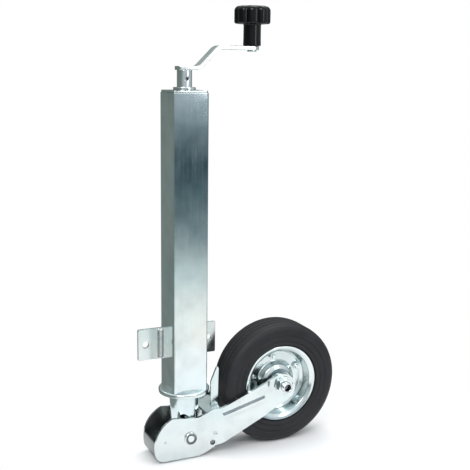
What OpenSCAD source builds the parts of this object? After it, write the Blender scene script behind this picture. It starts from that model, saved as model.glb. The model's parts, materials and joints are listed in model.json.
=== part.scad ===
// Automatic folding jockey wheel for a trailer drawbar.
// Modelled about the leg: X and Y are 0 on the leg's axis and Z is 0 at the fork pivot.
// at_mount() then moves everything so that the origin is the centre of the two mounting holes,
// on the back face of the mounting plate. +X is towards the wheel, +Y towards the drawbar.

/* [Outer tube] */
// Width of the square outer tube
tube_w = 70; // [66:1:74]
// Wall thickness of the outer tube
tube_wall = 3; // [2:0.5:4]
// Outer corner radius of the outer tube
tube_corner_r = 6; // [4:0.5:8]
// Height of the outer tube's top edge above the fork pivot
tube_top_h = 652; // [620:1:700]

/* [Mounting plate] */
// Width of the plate across both ears
plate_w = 160; // [150:1:162]
// Height of the plate
plate_h = 62; // [50:1:64]
// Thickness of the plate
plate_t = 6; // [5:0.5:8]
// Height of the bolt holes above the fork pivot
plate_mid_h = 173; // [172:1:200]
// Distance between the two bolt holes
bolt_spacing = 130; // [120:1:134]
// Diameter of the bolt holes
bolt_hole_d = 13; // [11:0.5:15]

/* [Guide collar] */
// Outer diameter of the round collar under the tube
collar_d = 98; // [94:1:104]
// Height of the collar
collar_h = 8; // [6:0.5:14]
// Height of the collar's underside above the fork pivot
collar_bottom_h = 85; // [80:1:90]

/* [Inner tube] */
// Outer diameter of the inner tube
leg_d = 57; // [54:0.5:58]
// Wall thickness of the inner tube
leg_wall = 3; // [2.5:0.5:4]
// Height of the inner tube's top above the fork pivot
leg_top_h = 440; // [420:1:460]

/* [Crank] */
// Crank radius from the spindle axis to the knob axis
crank_r = 133.5; // [110:0.5:150]
// Width of the crank's flat bar
crank_w = 26; // [22:1:30]
// Thickness of the crank's flat bar
crank_t = 7; // [6:0.5:8]
// Step up from the boss to the knob end
crank_rise = 37.4; // [30:0.1:45]
// Outer diameter of the knob's head
knob_d = 67; // [60:1:75]

/* [Fork] */
// Distance along X from the pivot to the wheel axle
axle_x = 195.6; // [190:0.1:205]
// Height of the wheel axle above the pivot
axle_h = 80.3; // [76:0.1:84]
// Thickness of the fork arms
arm_t = 5; // [4:0.5:6]
// Half of the gap between the arms at the pivot
arm_gap_pivot = 30.5; // [30:0.5:32]
// Half of the gap between the arms beside the tyre
arm_gap_tyre = 39; // [37:0.5:41]
// Half of the gap between the arms at the axle
arm_gap_axle = 36; // [35:0.5:38]

/* [Wheel] */
// Outer diameter of the tyre
tyre_d = 244; // [230:1:246]
// Width of the tyre
tyre_w = 70; // [60:1:72]
// Outer diameter of the rim's lip
rim_d = 154; // [146:1:158]
// Number of rim bolts
rim_bolt_count = 5; // [4:1:6]

/* [Hidden] */
$fn = 64;

run_gap = 0.05;                  // radial clearance of every running fit
slip_gap = 0.3;                  // clearance between faces that slide past each other
over = 1;                        // extra length of a cutting shape past the face it cuts
far = 80;                        // cutting shapes reach this far from the middle plane
tube_bore = tube_w - 2 * tube_wall;
plate_back_y = tube_w / 2 + plate_t;

// Mounting plate, collar and guide bush
plate_corner_r = 3;
weld_leg = 6;
collar_sheet = 3;
collar_edge_r = 3;
collar_bore_r = 29.5;
collar_top_h = collar_bottom_h + collar_h;
guide_bush_h = 30;

// Top of the tube: cap, bush and thrust bearing
cap_plug_t = 8;
cap_lid_t = 4;
journal_r = 8;
cap_bush_r = 11;
race_t = 3;
race_r = 22;
race_bore_r = 9;
ball_r = 3.95;
ball_count = 9;
ball_circle_r = 15;
ball_space = 8;
cage_t = 2.4;
cage_bore_r = 10;
race_upper_top = tube_top_h - cap_plug_t;
ball_mid_h = race_upper_top - race_t - ball_space / 2;
race_lower_top = ball_mid_h - ball_space / 2;
shoulder_h = race_lower_top - race_t;

// Spindle and nut
screw_r = 9;
screw_bottom_h = 180;
spindle_collar_r = 17;
spindle_collar_t = 12;
collar_pin_r = 2.5;
pin_short = 1;                   // a cross pin ends this far under the surface
nut_shank_r = 17;
nut_flange_r = 23.5;
nut_flange_t = 9;
nut_top_h = leg_top_h + 40;
end_ring_t = 8;
nut_step_h = leg_top_h - end_ring_t - slip_gap;
swivel_washer_t = 3;
swivel_washer_r = 27;
slide_block_h = 30;

// Crank
boss_bottom_h = tube_top_h + cap_lid_t + slip_gap;
boss_flange_t = 5;
boss_flange_r = 20.5;
boss_neck_r = 13.75;
bar_bottom_h = 691.6;
drive_pin_h = 676.5;
drive_pin_r = 4;
drive_pin_wall = 1.5;
slope_start_x = 26;
bar_end_x = 11;
bar_corner_r = 4;
knob_floor_h = bar_bottom_h + crank_rise + crank_t + slip_gap;
knob_stem_h = 39.5;
knob_head_h = 33;
knob_stem_r = 16.5;
knob_lobes = 8;
lobe_r = 8;
knob_waist_r = 28;
knob_top_r = 9;
knob_low_r = 4;
stud_r = 5;
stud_head_r = 8.5;
stud_head_t = 3;
stud_past = 4;
retainer_r = 8;
retainer_t = 2;
knob_pocket_r = 9.5;
knob_pocket_h = 790;
knob_cap_t = 4;

// Inner tube foot and pivot
leg_bottom_h = -22;
leg_hole = [-5, 40];
leg_hole_r = 7;
leg_hole_turn = -12;
pivot_r = 8;
pivot_head_r = 12.5;
pivot_head_t = 4;
pivot_dish_r = 8.5;
pivot_dish_t = 1.5;
pivot_pin_past = 4;
pivot_clip_r = 12;
pivot_clip_t = 2;
pivot_bush_r = 12.5;

// Fork arm outline
nose_mid = [-11, -11];
nose_r = 61;
nose_top_a = 114.5;
nose_low_a = 196;
corner_mid = [-54, -22.5];
corner_r = 16;
belly = [[20, -38.5], [36, -32.5], [52, -23]];
arm_end_mid = [192, 74];
arm_end_r = 29.5;
web_t = 4;
web_top_a = 169.6;
rib_ends = [[66, 37], [151, 59]];
rib_r = 6;
rib_t = 1;
sight_hole = [45.8, -16.3];
sight_hole_r = 5.5;
small_slot = [51, 3];
small_slot_step = [4, 1];
small_slot_r = 1.2;
dimple = [-51.5, 2.3];
dimple_r = 4;
press_depth = 1.5;
web_end_x = -34;
bridge_x = 34;
lug_y = -12;
lug_t = 5;
joggle_x = [50, 66, 157, 165];

// Axle
axle_r = 10;
axle_nut_r = 17;
axle_nut_t = 9;
axle_washer_r = 18;
axle_washer_t = 2.5;
axle_past = 19;
axle_hollow_r = 6;
axle_hollow_depth = 10;
spacer_r = 14;
axle_face_y = arm_gap_axle + arm_t;

// Wheel
hub_r = 17;
hub_bore_r = 13;
hub_half = 30;
bush_flange_t = 3;
bush_l = 22;
rim_sheet = 2.5;
rim_well_r = 64;
rim_lip_y = 31;
dome_foot_r = 40;
dome_top_r = 34;
dome_y = 20;
rim_bolt_circle_r = 51;
rim_bolt_start_a = 26;
rim_bolt_r = 4;
rim_hex_r = 7.5;
rim_head_t = 5;
rim_nut_t = 6.5;
rim_bolt_past = 9;
tyre_shoulder_r = 16;
bead_gap = 0.6;
groove_depth = 3;
groove_w = 2;
groove_y = [-24, -12, 0, 12, 24];

// A ring about Z, from height z0 to z1
module ring(r_out, r_in, z0, z1) {
    translate([0, 0, z0])
    difference() {
        cylinder(r = r_out, h = z1 - z0);
        translate([0, 0, -over]) cylinder(r = r_in, h = z1 - z0 + 2 * over);
    }
}

// A rod along Y, from y0 to y1
module rod_y(r, y0, y1) {
    translate([0, y1, 0]) rotate([90, 0, 0]) cylinder(r = r, h = y1 - y0);
}

// A square with true round corners
module round_square(w, r) {
    square([w, w - 2 * r], center = true);
    square([w - 2 * r, w], center = true);
    for (sx = [-1, 1], sy = [-1, 1]) translate([sx * (w / 2 - r), sy * (w / 2 - r)]) circle(r = r);
}

// A 2D bar with round ends from point a to point b
module slot_2d(a, b, r) {
    step = b - a;
    translate(a) rotate(atan2(step[1], step[0])) {
        translate([0, -r]) square([norm(step), 2 * r]);
        circle(r = r);
        translate([norm(step), 0]) circle(r = r);
    }
}

// Points on an arc about m, from angle a0 to a1 in n steps
function arc(m, r, a0, a1, n) =
    [for (i = [0:n]) let (a = a0 + (a1 - a0) * i / n) [m[0] + r * cos(a), m[1] + r * sin(a)]];

// Lifts a 2D shape drawn in X and Z to a slab between y0 and y1
module slab_y(y0, y1) {
    translate([0, y1, 0]) rotate([90, 0, 0]) linear_extrude(y1 - y0) children();
}

module at_mount() {
    translate([0, -plate_back_y, -plate_mid_h]) children();
}

module at_axle() {
    translate([axle_x, 0, axle_h]) children();
}

// ---- Housing: outer tube, cap, plate, collar and bushes ----

module outer_tube() color("gainsboro") at_mount()
    translate([0, 0, collar_top_h])
    linear_extrude(tube_top_h - collar_top_h)
    difference() {
        round_square(tube_w, tube_corner_r);
        round_square(tube_bore, tube_corner_r - tube_wall);
    }

module top_cap() color("silver") at_mount()
    difference() {
        union() {
            translate([0, 0, tube_top_h - cap_plug_t])
                linear_extrude(cap_plug_t) round_square(tube_bore, tube_corner_r - tube_wall);
            translate([0, 0, tube_top_h]) linear_extrude(cap_lid_t) round_square(tube_w - 2, tube_corner_r);
        }
        translate([0, 0, tube_top_h - cap_plug_t - over])
            cylinder(r = cap_bush_r, h = cap_plug_t + cap_lid_t + 2 * over);
    }

module cap_bush() color("darkgoldenrod") at_mount()
    ring(cap_bush_r, journal_r + run_gap, tube_top_h - cap_plug_t, tube_top_h + cap_lid_t);

module mounting_plate() color("gainsboro") at_mount()
    slab_y(tube_w / 2, plate_back_y)
    difference() {
        translate([0, plate_mid_h]) {
            square([plate_w, plate_h - 2 * plate_corner_r], center = true);
            square([plate_w - 2 * plate_corner_r, plate_h], center = true);
            for (sx = [-1, 1], sz = [-1, 1])
                translate([sx * (plate_w / 2 - plate_corner_r), sz * (plate_h / 2 - plate_corner_r)])
                    circle(r = plate_corner_r);
        }
        for (sx = [-1, 1]) translate([sx * bolt_spacing / 2, plate_mid_h]) circle(d = bolt_hole_d);
    }

// Fillet welds between the tube's round back corners and the plate
module plate_welds() color("darkgray") at_mount()
    translate([0, 0, plate_mid_h - plate_h / 2 + over])
    linear_extrude(plate_h - 2 * over)
    for (sx = [-1, 1]) scale([sx, 1])
        difference() {
            polygon([[tube_w / 2 - tube_corner_r, tube_w / 2], [tube_w / 2, tube_w / 2 - tube_corner_r - 2],
                     [tube_w / 2 + weld_leg, tube_w / 2]]);
            round_square(tube_w, tube_corner_r);
        }

// Pressed round flange that the tube stands on, its rim turned down
module guide_collar() color("gainsboro") at_mount()
    rotate_extrude() {
        translate([collar_bore_r, collar_top_h - collar_sheet])
            square([collar_d / 2 - collar_edge_r - collar_bore_r, collar_sheet]);
        translate([collar_d / 2 - collar_edge_r, collar_top_h - collar_edge_r])
            intersection() {
                circle(r = collar_edge_r);
                square(collar_edge_r);
            }
        translate([collar_d / 2 - collar_sheet, collar_bottom_h])
            square([collar_sheet, collar_h - collar_edge_r]);
    }

module guide_bush() color("dimgray") at_mount()
    translate([0, 0, collar_top_h])
    linear_extrude(guide_bush_h)
    difference() {
        round_square(tube_bore - 2 * run_gap, tube_corner_r - tube_wall);
        circle(r = leg_d / 2 + run_gap);
    }

// ---- Thrust bearing ----

module thrust_race_upper() color("lightsteelblue") at_mount()
    ring(race_r, race_bore_r, race_upper_top - race_t, race_upper_top);

module thrust_race_lower() color("lightsteelblue") at_mount()
    ring(race_r, journal_r, shoulder_h, race_lower_top);

module ball_cage() color("goldenrod") at_mount()
    difference() {
        ring(race_r - 2, cage_bore_r, ball_mid_h - cage_t / 2, ball_mid_h + cage_t / 2);
        for (i = [0:ball_count - 1]) rotate(i * 360 / ball_count)
            translate([ball_circle_r, 0, ball_mid_h - cage_t]) cylinder(r = ball_r + run_gap, h = 2 * cage_t);
    }

module thrust_balls() color("lightsteelblue") at_mount()
    for (i = [0:ball_count - 1]) rotate(i * 360 / ball_count)
        translate([ball_circle_r, 0, ball_mid_h]) sphere(r = ball_r);

// ---- Crank and spindle ----

module crank_boss() color("silver") at_mount()
    difference() {
        union() {
            translate([0, 0, boss_bottom_h]) cylinder(r = boss_flange_r, h = boss_flange_t);
            translate([0, 0, boss_bottom_h]) cylinder(r = boss_neck_r, h = bar_bottom_h - boss_bottom_h);
        }
        translate([0, 0, boss_bottom_h - over])
            cylinder(r = journal_r, h = bar_bottom_h - boss_bottom_h + 2 * over);
        translate([0, 0, drive_pin_h]) rod_y(drive_pin_r, -far, far);
    }

// Flat bar with two bends, cut to rounded ends
module crank_arm() color("gainsboro") at_mount()
    difference() {
        intersection() {
            slab_y(-crank_w / 2, crank_w / 2)
                polygon(concat(bar_line(0), [for (i = [3:-1:0]) bar_line(crank_t)[i]]));
            translate([0, 0, bar_bottom_h - over]) linear_extrude(crank_rise + crank_t + 2 * over) {
                translate([-bar_end_x, -crank_w / 2]) square([crank_r + bar_end_x, crank_w]);
                translate([-bar_end_x - bar_corner_r, bar_corner_r - crank_w / 2])
                    square([bar_corner_r, crank_w - 2 * bar_corner_r]);
                for (sy = [-1, 1]) translate([-bar_end_x, sy * (crank_w / 2 - bar_corner_r)])
                    circle(r = bar_corner_r);
                translate([crank_r, 0]) circle(d = crank_w);
            }
        }
        translate([crank_r, 0, bar_bottom_h]) cylinder(r = stud_r, h = 2 * crank_rise);
    }

// Lower edge of the bar, raised by up; the bends keep the bar the same thickness
function bar_line(up) =
    let (shift = up * tan(22.5)) [
        [-bar_end_x - bar_corner_r, bar_bottom_h + up],
        [slope_start_x - shift, bar_bottom_h + up],
        [slope_start_x + crank_rise - shift, bar_bottom_h + crank_rise + up],
        [crank_r + crank_w / 2, bar_bottom_h + crank_rise + up]
    ];

// Rolled spring pin through the boss and the spindle
module drive_pin() color("dimgray") at_mount()
    translate([0, 0, drive_pin_h])
    difference() {
        rod_y(drive_pin_r, pin_short - boss_neck_r, boss_neck_r - pin_short);
        rod_y(drive_pin_r - drive_pin_wall, -far, far);
    }

module spindle() color("slategray") at_mount()
    difference() {
        union() {
            translate([0, 0, screw_bottom_h]) cylinder(r = screw_r, h = shoulder_h - screw_bottom_h);
            translate([0, 0, shoulder_h]) cylinder(r = journal_r, h = bar_bottom_h - shoulder_h);
        }
        translate([0, 0, drive_pin_h]) rod_y(drive_pin_r, -far, far);
        translate([0, 0, shoulder_h - spindle_collar_t / 2]) rod_y(collar_pin_r, -far, far);
    }

module spindle_collar() color("silver") at_mount()
    difference() {
        ring(spindle_collar_r, screw_r, shoulder_h - spindle_collar_t, shoulder_h);
        translate([0, 0, shoulder_h - spindle_collar_t / 2]) rod_y(collar_pin_r, -far, far);
    }

module collar_pin() color("dimgray") at_mount()
    translate([0, 0, shoulder_h - spindle_collar_t / 2])
    rod_y(collar_pin_r, pin_short - spindle_collar_r, spindle_collar_r - pin_short);

module knob_stud() color("silver") at_mount()
    translate([crank_r, 0, 0]) {
        translate([0, 0, bar_bottom_h + crank_rise - stud_head_t]) cylinder(r = stud_head_r, h = stud_head_t);
        translate([0, 0, bar_bottom_h + crank_rise])
            cylinder(r = stud_r, h = knob_pocket_h + stud_past - bar_bottom_h - crank_rise);
    }

module knob_retainer() color("silver") at_mount()
    translate([crank_r, 0, knob_pocket_h + slip_gap]) ring(retainer_r, stud_r, 0, retainer_t);

// Lobed outline of the knob's head, rounded above and below
module knob_head() {
    intersection() {
        linear_extrude(knob_head_h) {
            circle(r = knob_waist_r);
            for (i = [0:knob_lobes - 1]) rotate((i + 0.5) * 360 / knob_lobes)
                translate([knob_d / 2 - lobe_r, 0]) circle(r = lobe_r);
        }
        rotate_extrude() {
            square([knob_d / 2 - knob_top_r, knob_head_h]);
            translate([0, knob_low_r])
                square([knob_d / 2, knob_head_h - knob_top_r - knob_low_r]);
            square([knob_d / 2 - knob_low_r, knob_low_r]);
            translate([knob_d / 2 - knob_low_r, knob_low_r]) circle(r = knob_low_r);
            translate([knob_d / 2 - knob_top_r, knob_head_h - knob_top_r]) circle(r = knob_top_r);
        }
    }
}

module knob() color("black") at_mount()
    translate([crank_r, 0, 0])
    difference() {
        union() {
            translate([0, 0, knob_floor_h]) cylinder(r = knob_stem_r, h = knob_stem_h + over);
            translate([0, 0, knob_floor_h + knob_stem_h]) knob_head();
        }
        translate([0, 0, knob_floor_h - over]) cylinder(r = stud_r + run_gap, h = 2 * knob_stem_h);
        translate([0, 0, knob_pocket_h]) cylinder(r = knob_pocket_r, h = knob_head_h);
    }

module knob_cap() color("black") at_mount()
    translate([crank_r, 0, knob_floor_h + knob_stem_h + knob_head_h - knob_cap_t])
    cylinder(r = knob_pocket_r, h = knob_cap_t);

// ---- Slider: nut that climbs the spindle without turning ----

module spindle_nut() color("darkgoldenrod") at_mount() {
    ring(nut_flange_r, screw_r + run_gap, nut_step_h - nut_flange_t, nut_step_h);
    ring(nut_shank_r, screw_r + run_gap, nut_step_h, nut_top_h);
}

module slide_block() color("dimgray") at_mount()
    translate([0, 0, leg_top_h + slip_gap + swivel_washer_t])
    linear_extrude(slide_block_h)
    difference() {
        round_square(tube_bore - 2 * slip_gap, tube_corner_r - tube_wall);
        circle(r = nut_shank_r);
    }

module swivel_washer() color("goldenrod") at_mount()
    translate([0, 0, leg_top_h + slip_gap]) ring(swivel_washer_r, nut_shank_r, 0, swivel_washer_t);

// ---- Leg: inner tube that swivels on the slider ----

module inner_tube() color("whitesmoke") at_mount()
    difference() {
        ring(leg_d / 2, leg_d / 2 - leg_wall, leg_bottom_h, leg_top_h);
        rod_y(pivot_bush_r, -far, far);
        translate([leg_hole[0], 0, leg_hole[1]]) rotate([0, 0, leg_hole_turn]) rod_y(leg_hole_r, -far, 0);
    }

module tube_end_ring() color("silver") at_mount()
    ring(leg_d / 2 - leg_wall, nut_shank_r + run_gap, leg_top_h - end_ring_t, leg_top_h);

module pivot_bush() color("silver") at_mount()
    difference() {
        rod_y(pivot_bush_r, slip_gap - arm_gap_pivot, arm_gap_pivot - slip_gap);
        rod_y(pivot_r + run_gap, -far, far);
    }

// ---- Fork ----

// Side view of an arm: round nose, flat belly, tapered arm and round axle end
module arm_side() {
    polygon(concat(
        [[16, 39]],
        arc(nose_mid, nose_r, nose_top_a, nose_low_a, 16),
        arc(corner_mid, corner_r, 200, 270, 6),
        belly,
        arc(arm_end_mid, arm_end_r, -66, 111.5, 24),
        [[60, 53], [44, 50], [34, 45]]
    ));
}

// Plan view of the rear arm: parallel at the pivot, joggled out past the tyre and in again at the axle
module arm_plan() {
    line = [[-90, arm_gap_pivot], [joggle_x[0], arm_gap_pivot], [joggle_x[1], arm_gap_tyre],
            [joggle_x[2], arm_gap_tyre], [joggle_x[3], arm_gap_axle], [240, arm_gap_axle]];
    polygon(concat(line, [for (i = [5:-1:0]) line[i] + [0, arm_t]]));
}

module fork_arm(side) {
    mirror([0, side < 0 ? 1 : 0, 0])
    difference() {
        union() {
            intersection() {
                translate([0, 0, -far]) linear_extrude(3 * far) arm_plan();
                slab_y(0, far) arm_side();
            }
            slab_y(arm_gap_tyre + arm_t, arm_gap_tyre + arm_t + rib_t)
                slot_2d(rib_ends[0], rib_ends[1], rib_r);
        }
        rod_y(pivot_r, 0, far);
        at_axle() rod_y(axle_r, 0, far);
        translate([sight_hole[0], 0, sight_hole[1]]) rod_y(sight_hole_r, 0, far);
        slab_y(arm_gap_pivot + arm_t - press_depth, far)
            slot_2d(small_slot - small_slot_step, small_slot + small_slot_step, small_slot_r);
        translate([dimple[0], 0, dimple[1]]) rod_y(dimple_r, arm_gap_pivot + arm_t - press_depth, far);
    }
}

module fork_arm_front() color("whitesmoke") at_mount() fork_arm(-1);

module fork_arm_rear() color("whitesmoke") at_mount() fork_arm(1);

// Bent strip that closes the nose at its lower corner
module nose_web() color("lightgray") at_mount()
    slab_y(-arm_gap_pivot, arm_gap_pivot)
    polygon(concat(
        arc(nose_mid, nose_r, web_top_a, nose_low_a, 6),
        arc(corner_mid, corner_r, 200, 270, 6),
        [[web_end_x, corner_mid[1] - corner_r], [web_end_x, corner_mid[1] - corner_r + web_t]],
        arc(corner_mid, corner_r - web_t, 270, 200, 6),
        arc(nose_mid, nose_r - web_t, nose_low_a, web_top_a, 6)
    ));

// Bridge between the arms, just behind the inner tube
module top_web() color("lightgray") at_mount()
    intersection() {
        linear_extrude(far) polygon([
            [bridge_x, -arm_gap_pivot], [joggle_x[0], -arm_gap_pivot], [joggle_x[1], -arm_gap_tyre],
            [joggle_x[1], arm_gap_tyre], [joggle_x[0], arm_gap_pivot], [bridge_x, arm_gap_pivot]]);
        slab_y(-far, far) polygon([[bridge_x, 44], [44, 49], [60, 52], [66, 53], [66, 49], [60, 48], [45, 45], [bridge_x, 40]]);
    }

// Finger on the bridge that the collar presses to fold the wheel
module fold_lug() color("gainsboro") at_mount()
    slab_y(lug_y - lug_t, lug_y)
    polygon([[49, 49.9375], [49, 100], [54.5, 113.5], [59.6, 126], [61.2, 128.6], [63.6, 129.2], [65.6, 127.5],
        [66, 125], [65.4, 91], [64.8, 52.8], [60, 52]]);

module pivot_pin() color("gainsboro") at_mount()
    difference() {
        union() {
            rod_y(pivot_head_r, -arm_gap_pivot - arm_t - pivot_head_t, -arm_gap_pivot - arm_t);
            rod_y(pivot_r, -arm_gap_pivot - arm_t, arm_gap_pivot + arm_t + pivot_pin_past);
        }
        rod_y(pivot_dish_r, -far, pivot_dish_t - arm_gap_pivot - arm_t - pivot_head_t);
    }

module pivot_clip() color("dimgray") at_mount()
    difference() {
        rod_y(pivot_clip_r, arm_gap_pivot + arm_t, arm_gap_pivot + arm_t + pivot_clip_t);
        rod_y(pivot_r, 0, far);
    }

// ---- Axle ----

module axle_bolt() color("silver") at_mount() at_axle()
    difference() {
        union() {
            rod_y(axle_r, -axle_face_y - axle_past, axle_face_y + axle_washer_t);
            translate([0, axle_face_y + axle_washer_t + axle_nut_t, 0]) rotate([90, 0, 0])
                cylinder(r = axle_nut_r, h = axle_nut_t, $fn = 6);
        }
        rod_y(axle_hollow_r, -far, axle_hollow_depth - axle_face_y - axle_past);
    }

module axle_nut() color("silver") at_mount() at_axle()
    difference() {
        translate([0, -axle_face_y - axle_washer_t, 0]) rotate([90, 0, 0])
            cylinder(r = axle_nut_r, h = axle_nut_t, $fn = 6);
        rod_y(axle_r, -far, 0);
    }

module axle_washers() color("gainsboro") at_mount() at_axle()
    for (side = [-1, 1]) scale([1, side, 1])
        difference() {
            rod_y(axle_washer_r, axle_face_y, axle_face_y + axle_washer_t);
            rod_y(axle_r, 0, far);
        }

module axle_spacers() color("silver") at_mount() at_axle()
    for (side = [-1, 1]) scale([1, side, 1])
        difference() {
            rod_y(spacer_r, hub_half + bush_flange_t + slip_gap, arm_gap_axle);
            rod_y(axle_r, 0, far);
        }

// ---- Wheel ----

// Profile as [radius, distance along Y], turned about the axle
module turned_y() {
    rotate([90, 0, 0]) rotate_extrude($fn = 128) children();
}

// Half of the tyre's section, from the middle plane out; its inner edge follows the rim
module tyre_half() {
    difference() {
        union() {
            square([tyre_d / 2, tyre_w / 2 - tyre_shoulder_r]);
            square([tyre_d / 2 - tyre_shoulder_r, tyre_w / 2]);
            translate([tyre_d / 2 - tyre_shoulder_r, tyre_w / 2 - tyre_shoulder_r])
                circle(r = tyre_shoulder_r);
        }
        polygon([
            [0, -over], [rim_well_r + rim_sheet, -over], [rim_well_r + rim_sheet, rim_sheet + 2],
            [rim_well_r + 5 + bead_gap, rim_lip_y - 6.5], [rim_d / 2 + bead_gap, rim_lip_y - 4],
            [rim_d / 2 + 2, rim_lip_y + 2], [rim_d / 2 + 2, tyre_w], [0, tyre_w]
        ]);
    }
}

module tyre() color([0.08, 0.08, 0.09]) at_mount() at_axle()
    turned_y()
    difference() {
        for (side = [-1, 1]) scale([1, side]) tyre_half();
        for (y = groove_y) translate([tyre_d / 2 - groove_depth, y - groove_w / 2])
            square([2 * groove_depth, groove_w]);
    }

// One pressed half: hub dome, flat bolting ring, well and lip
module rim_half(side) {
    turned_y()
    scale([1, side])
    polygon([
        [hub_r, dome_y - 4], [hub_r, dome_y], [dome_top_r - 6, dome_y - 1], [dome_top_r, dome_y - 5],
        [dome_foot_r, rim_sheet], [rim_well_r - 5, rim_sheet], [rim_well_r - 1, rim_sheet + 4],
        [rim_well_r + 3, rim_lip_y - 4], [rim_d / 2 - 1, rim_lip_y],
        [rim_d / 2, rim_lip_y - 2], [rim_d / 2 - 1, rim_lip_y - 3], [rim_well_r + 5, rim_lip_y - 6],
        [rim_well_r + 1.5, rim_sheet + 1], [rim_well_r - 2, 0], [dome_foot_r - 2, 0],
        [dome_top_r - 2.5, dome_y - 6], [dome_top_r - 7, dome_y - 3.5]
    ]);
}

module rim_drilled(side) {
    difference() {
        rim_half(side);
        rim_bolt_places() rod_y(rim_bolt_r, -far, far);
    }
}

module rim_bolt_places() {
    for (i = [0:rim_bolt_count - 1]) rotate([0, -rim_bolt_start_a - i * 360 / rim_bolt_count, 0])
        translate([rim_bolt_circle_r, 0, 0]) children();
}

module rim_front() color("lightgray") at_mount() at_axle() rim_drilled(1);

module rim_rear() color("lightgray") at_mount() at_axle() rim_drilled(-1);

module rim_bolts() color("gainsboro") at_mount() at_axle()
    rim_bolt_places() {
        rod_y(rim_bolt_r, -rim_sheet - rim_bolt_past, rim_sheet);
        translate([0, rim_sheet + rim_head_t, 0]) rotate([90, 0, 0])
            cylinder(r = rim_hex_r, h = rim_head_t, $fn = 6);
    }

module rim_nuts() color("gainsboro") at_mount() at_axle()
    rim_bolt_places() difference() {
        translate([0, -rim_sheet, 0]) rotate([90, 0, 0]) cylinder(r = rim_hex_r, h = rim_nut_t, $fn = 6);
        rod_y(rim_bolt_r, -far, 0);
    }

module hub_tube() color("lightgray") at_mount() at_axle()
    difference() {
        rod_y(hub_r, -hub_half, hub_half);
        rod_y(hub_bore_r, -far, far);
    }

module hub_bushes() color("dimgray") at_mount() at_axle()
    for (side = [-1, 1]) scale([1, side, 1])
        difference() {
            union() {
                rod_y(hub_bore_r, hub_half - bush_l, hub_half);
                rod_y(hub_r, hub_half, hub_half + bush_flange_t);
            }
            rod_y(axle_r + run_gap, 0, far);
        }

outer_tube();
top_cap();
cap_bush();
mounting_plate();
plate_welds();
guide_collar();
guide_bush();
thrust_race_upper();
thrust_race_lower();
ball_cage();
thrust_balls();
crank_boss();
crank_arm();
drive_pin();
spindle();
spindle_collar();
collar_pin();
knob_stud();
knob_retainer();
knob();
knob_cap();
spindle_nut();
slide_block();
swivel_washer();
inner_tube();
tube_end_ring();
pivot_bush();
fork_arm_front();
fork_arm_rear();
nose_web();
top_web();
fold_lug();
pivot_pin();
pivot_clip();
axle_bolt();
axle_nut();
axle_washers();
axle_spacers();
tyre();
rim_front();
rim_rear();
rim_bolts();
rim_nuts();
hub_tube();
hub_bushes();
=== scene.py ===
"""Finer meshes, materials, light and camera for a folding jockey wheel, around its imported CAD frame.

Shapes are drawn in millimetres about the fork pivot: X towards the wheel, Y towards the drawbar, Z up.
"""
import json
import math
import random

import bmesh
import bpy
from mathutils import Matrix, Quaternion, Vector
from mathutils.geometry import delaunay_2d_cdt


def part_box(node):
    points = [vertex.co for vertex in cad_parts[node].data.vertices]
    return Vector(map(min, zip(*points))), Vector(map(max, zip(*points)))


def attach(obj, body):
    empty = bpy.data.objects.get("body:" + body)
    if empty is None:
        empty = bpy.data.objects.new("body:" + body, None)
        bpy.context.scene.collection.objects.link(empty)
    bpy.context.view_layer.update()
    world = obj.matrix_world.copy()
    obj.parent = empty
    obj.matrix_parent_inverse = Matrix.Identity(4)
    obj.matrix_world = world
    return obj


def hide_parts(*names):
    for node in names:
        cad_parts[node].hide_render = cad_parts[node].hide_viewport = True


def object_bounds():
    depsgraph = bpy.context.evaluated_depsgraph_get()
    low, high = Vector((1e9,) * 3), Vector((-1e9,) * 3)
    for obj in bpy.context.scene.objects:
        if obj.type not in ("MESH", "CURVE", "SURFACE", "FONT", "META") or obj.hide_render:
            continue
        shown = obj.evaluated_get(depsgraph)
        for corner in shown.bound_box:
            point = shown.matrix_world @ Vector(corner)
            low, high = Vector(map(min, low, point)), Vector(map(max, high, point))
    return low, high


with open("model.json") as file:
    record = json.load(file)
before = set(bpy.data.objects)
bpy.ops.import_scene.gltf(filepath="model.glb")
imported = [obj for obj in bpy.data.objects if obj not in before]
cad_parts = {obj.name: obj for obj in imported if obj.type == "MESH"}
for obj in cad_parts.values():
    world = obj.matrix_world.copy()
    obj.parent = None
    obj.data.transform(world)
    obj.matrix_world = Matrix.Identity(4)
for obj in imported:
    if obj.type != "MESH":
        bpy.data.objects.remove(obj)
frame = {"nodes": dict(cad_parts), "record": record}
cad_low, cad_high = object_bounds()
record = frame["record"]
scene = bpy.context.scene
random.seed(4)

MM = 0.001
SLOT_OF = {part["node"]: part["material_slot"] for part in record["subparts"]}
BODY_OF = {node: body for body, nodes in record["behaviour"]["bodies"].items() for node in nodes}
COLOUR_OF = {entry["slot"]: entry["base_color"] for entry in record["materials"]}

# ---- Places and sizes, read from the frame ----

tube_low, tube_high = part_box("outer_tube")
bush_low, bush_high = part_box("pivot_bush")
PIVOT = Vector((
    (tube_low.x + tube_high.x) / 2,
    (tube_low.y + tube_high.y) / 2,
    (bush_low.z + bush_high.z) / 2,
))
TO_ROW = Matrix.Translation(PIVOT) @ Matrix.Scale(MM, 4)


def box(node):
    """Lowest and highest corners of a CAD node, in millimetres about the pivot."""
    low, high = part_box(node)
    return (low - PIVOT) / MM, (high - PIVOT) / MM


def middle(node):
    low, high = box(node)
    return (low + high) / 2


AXLE = middle("hub_tube")


# ---- Mesh helpers ----

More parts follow.
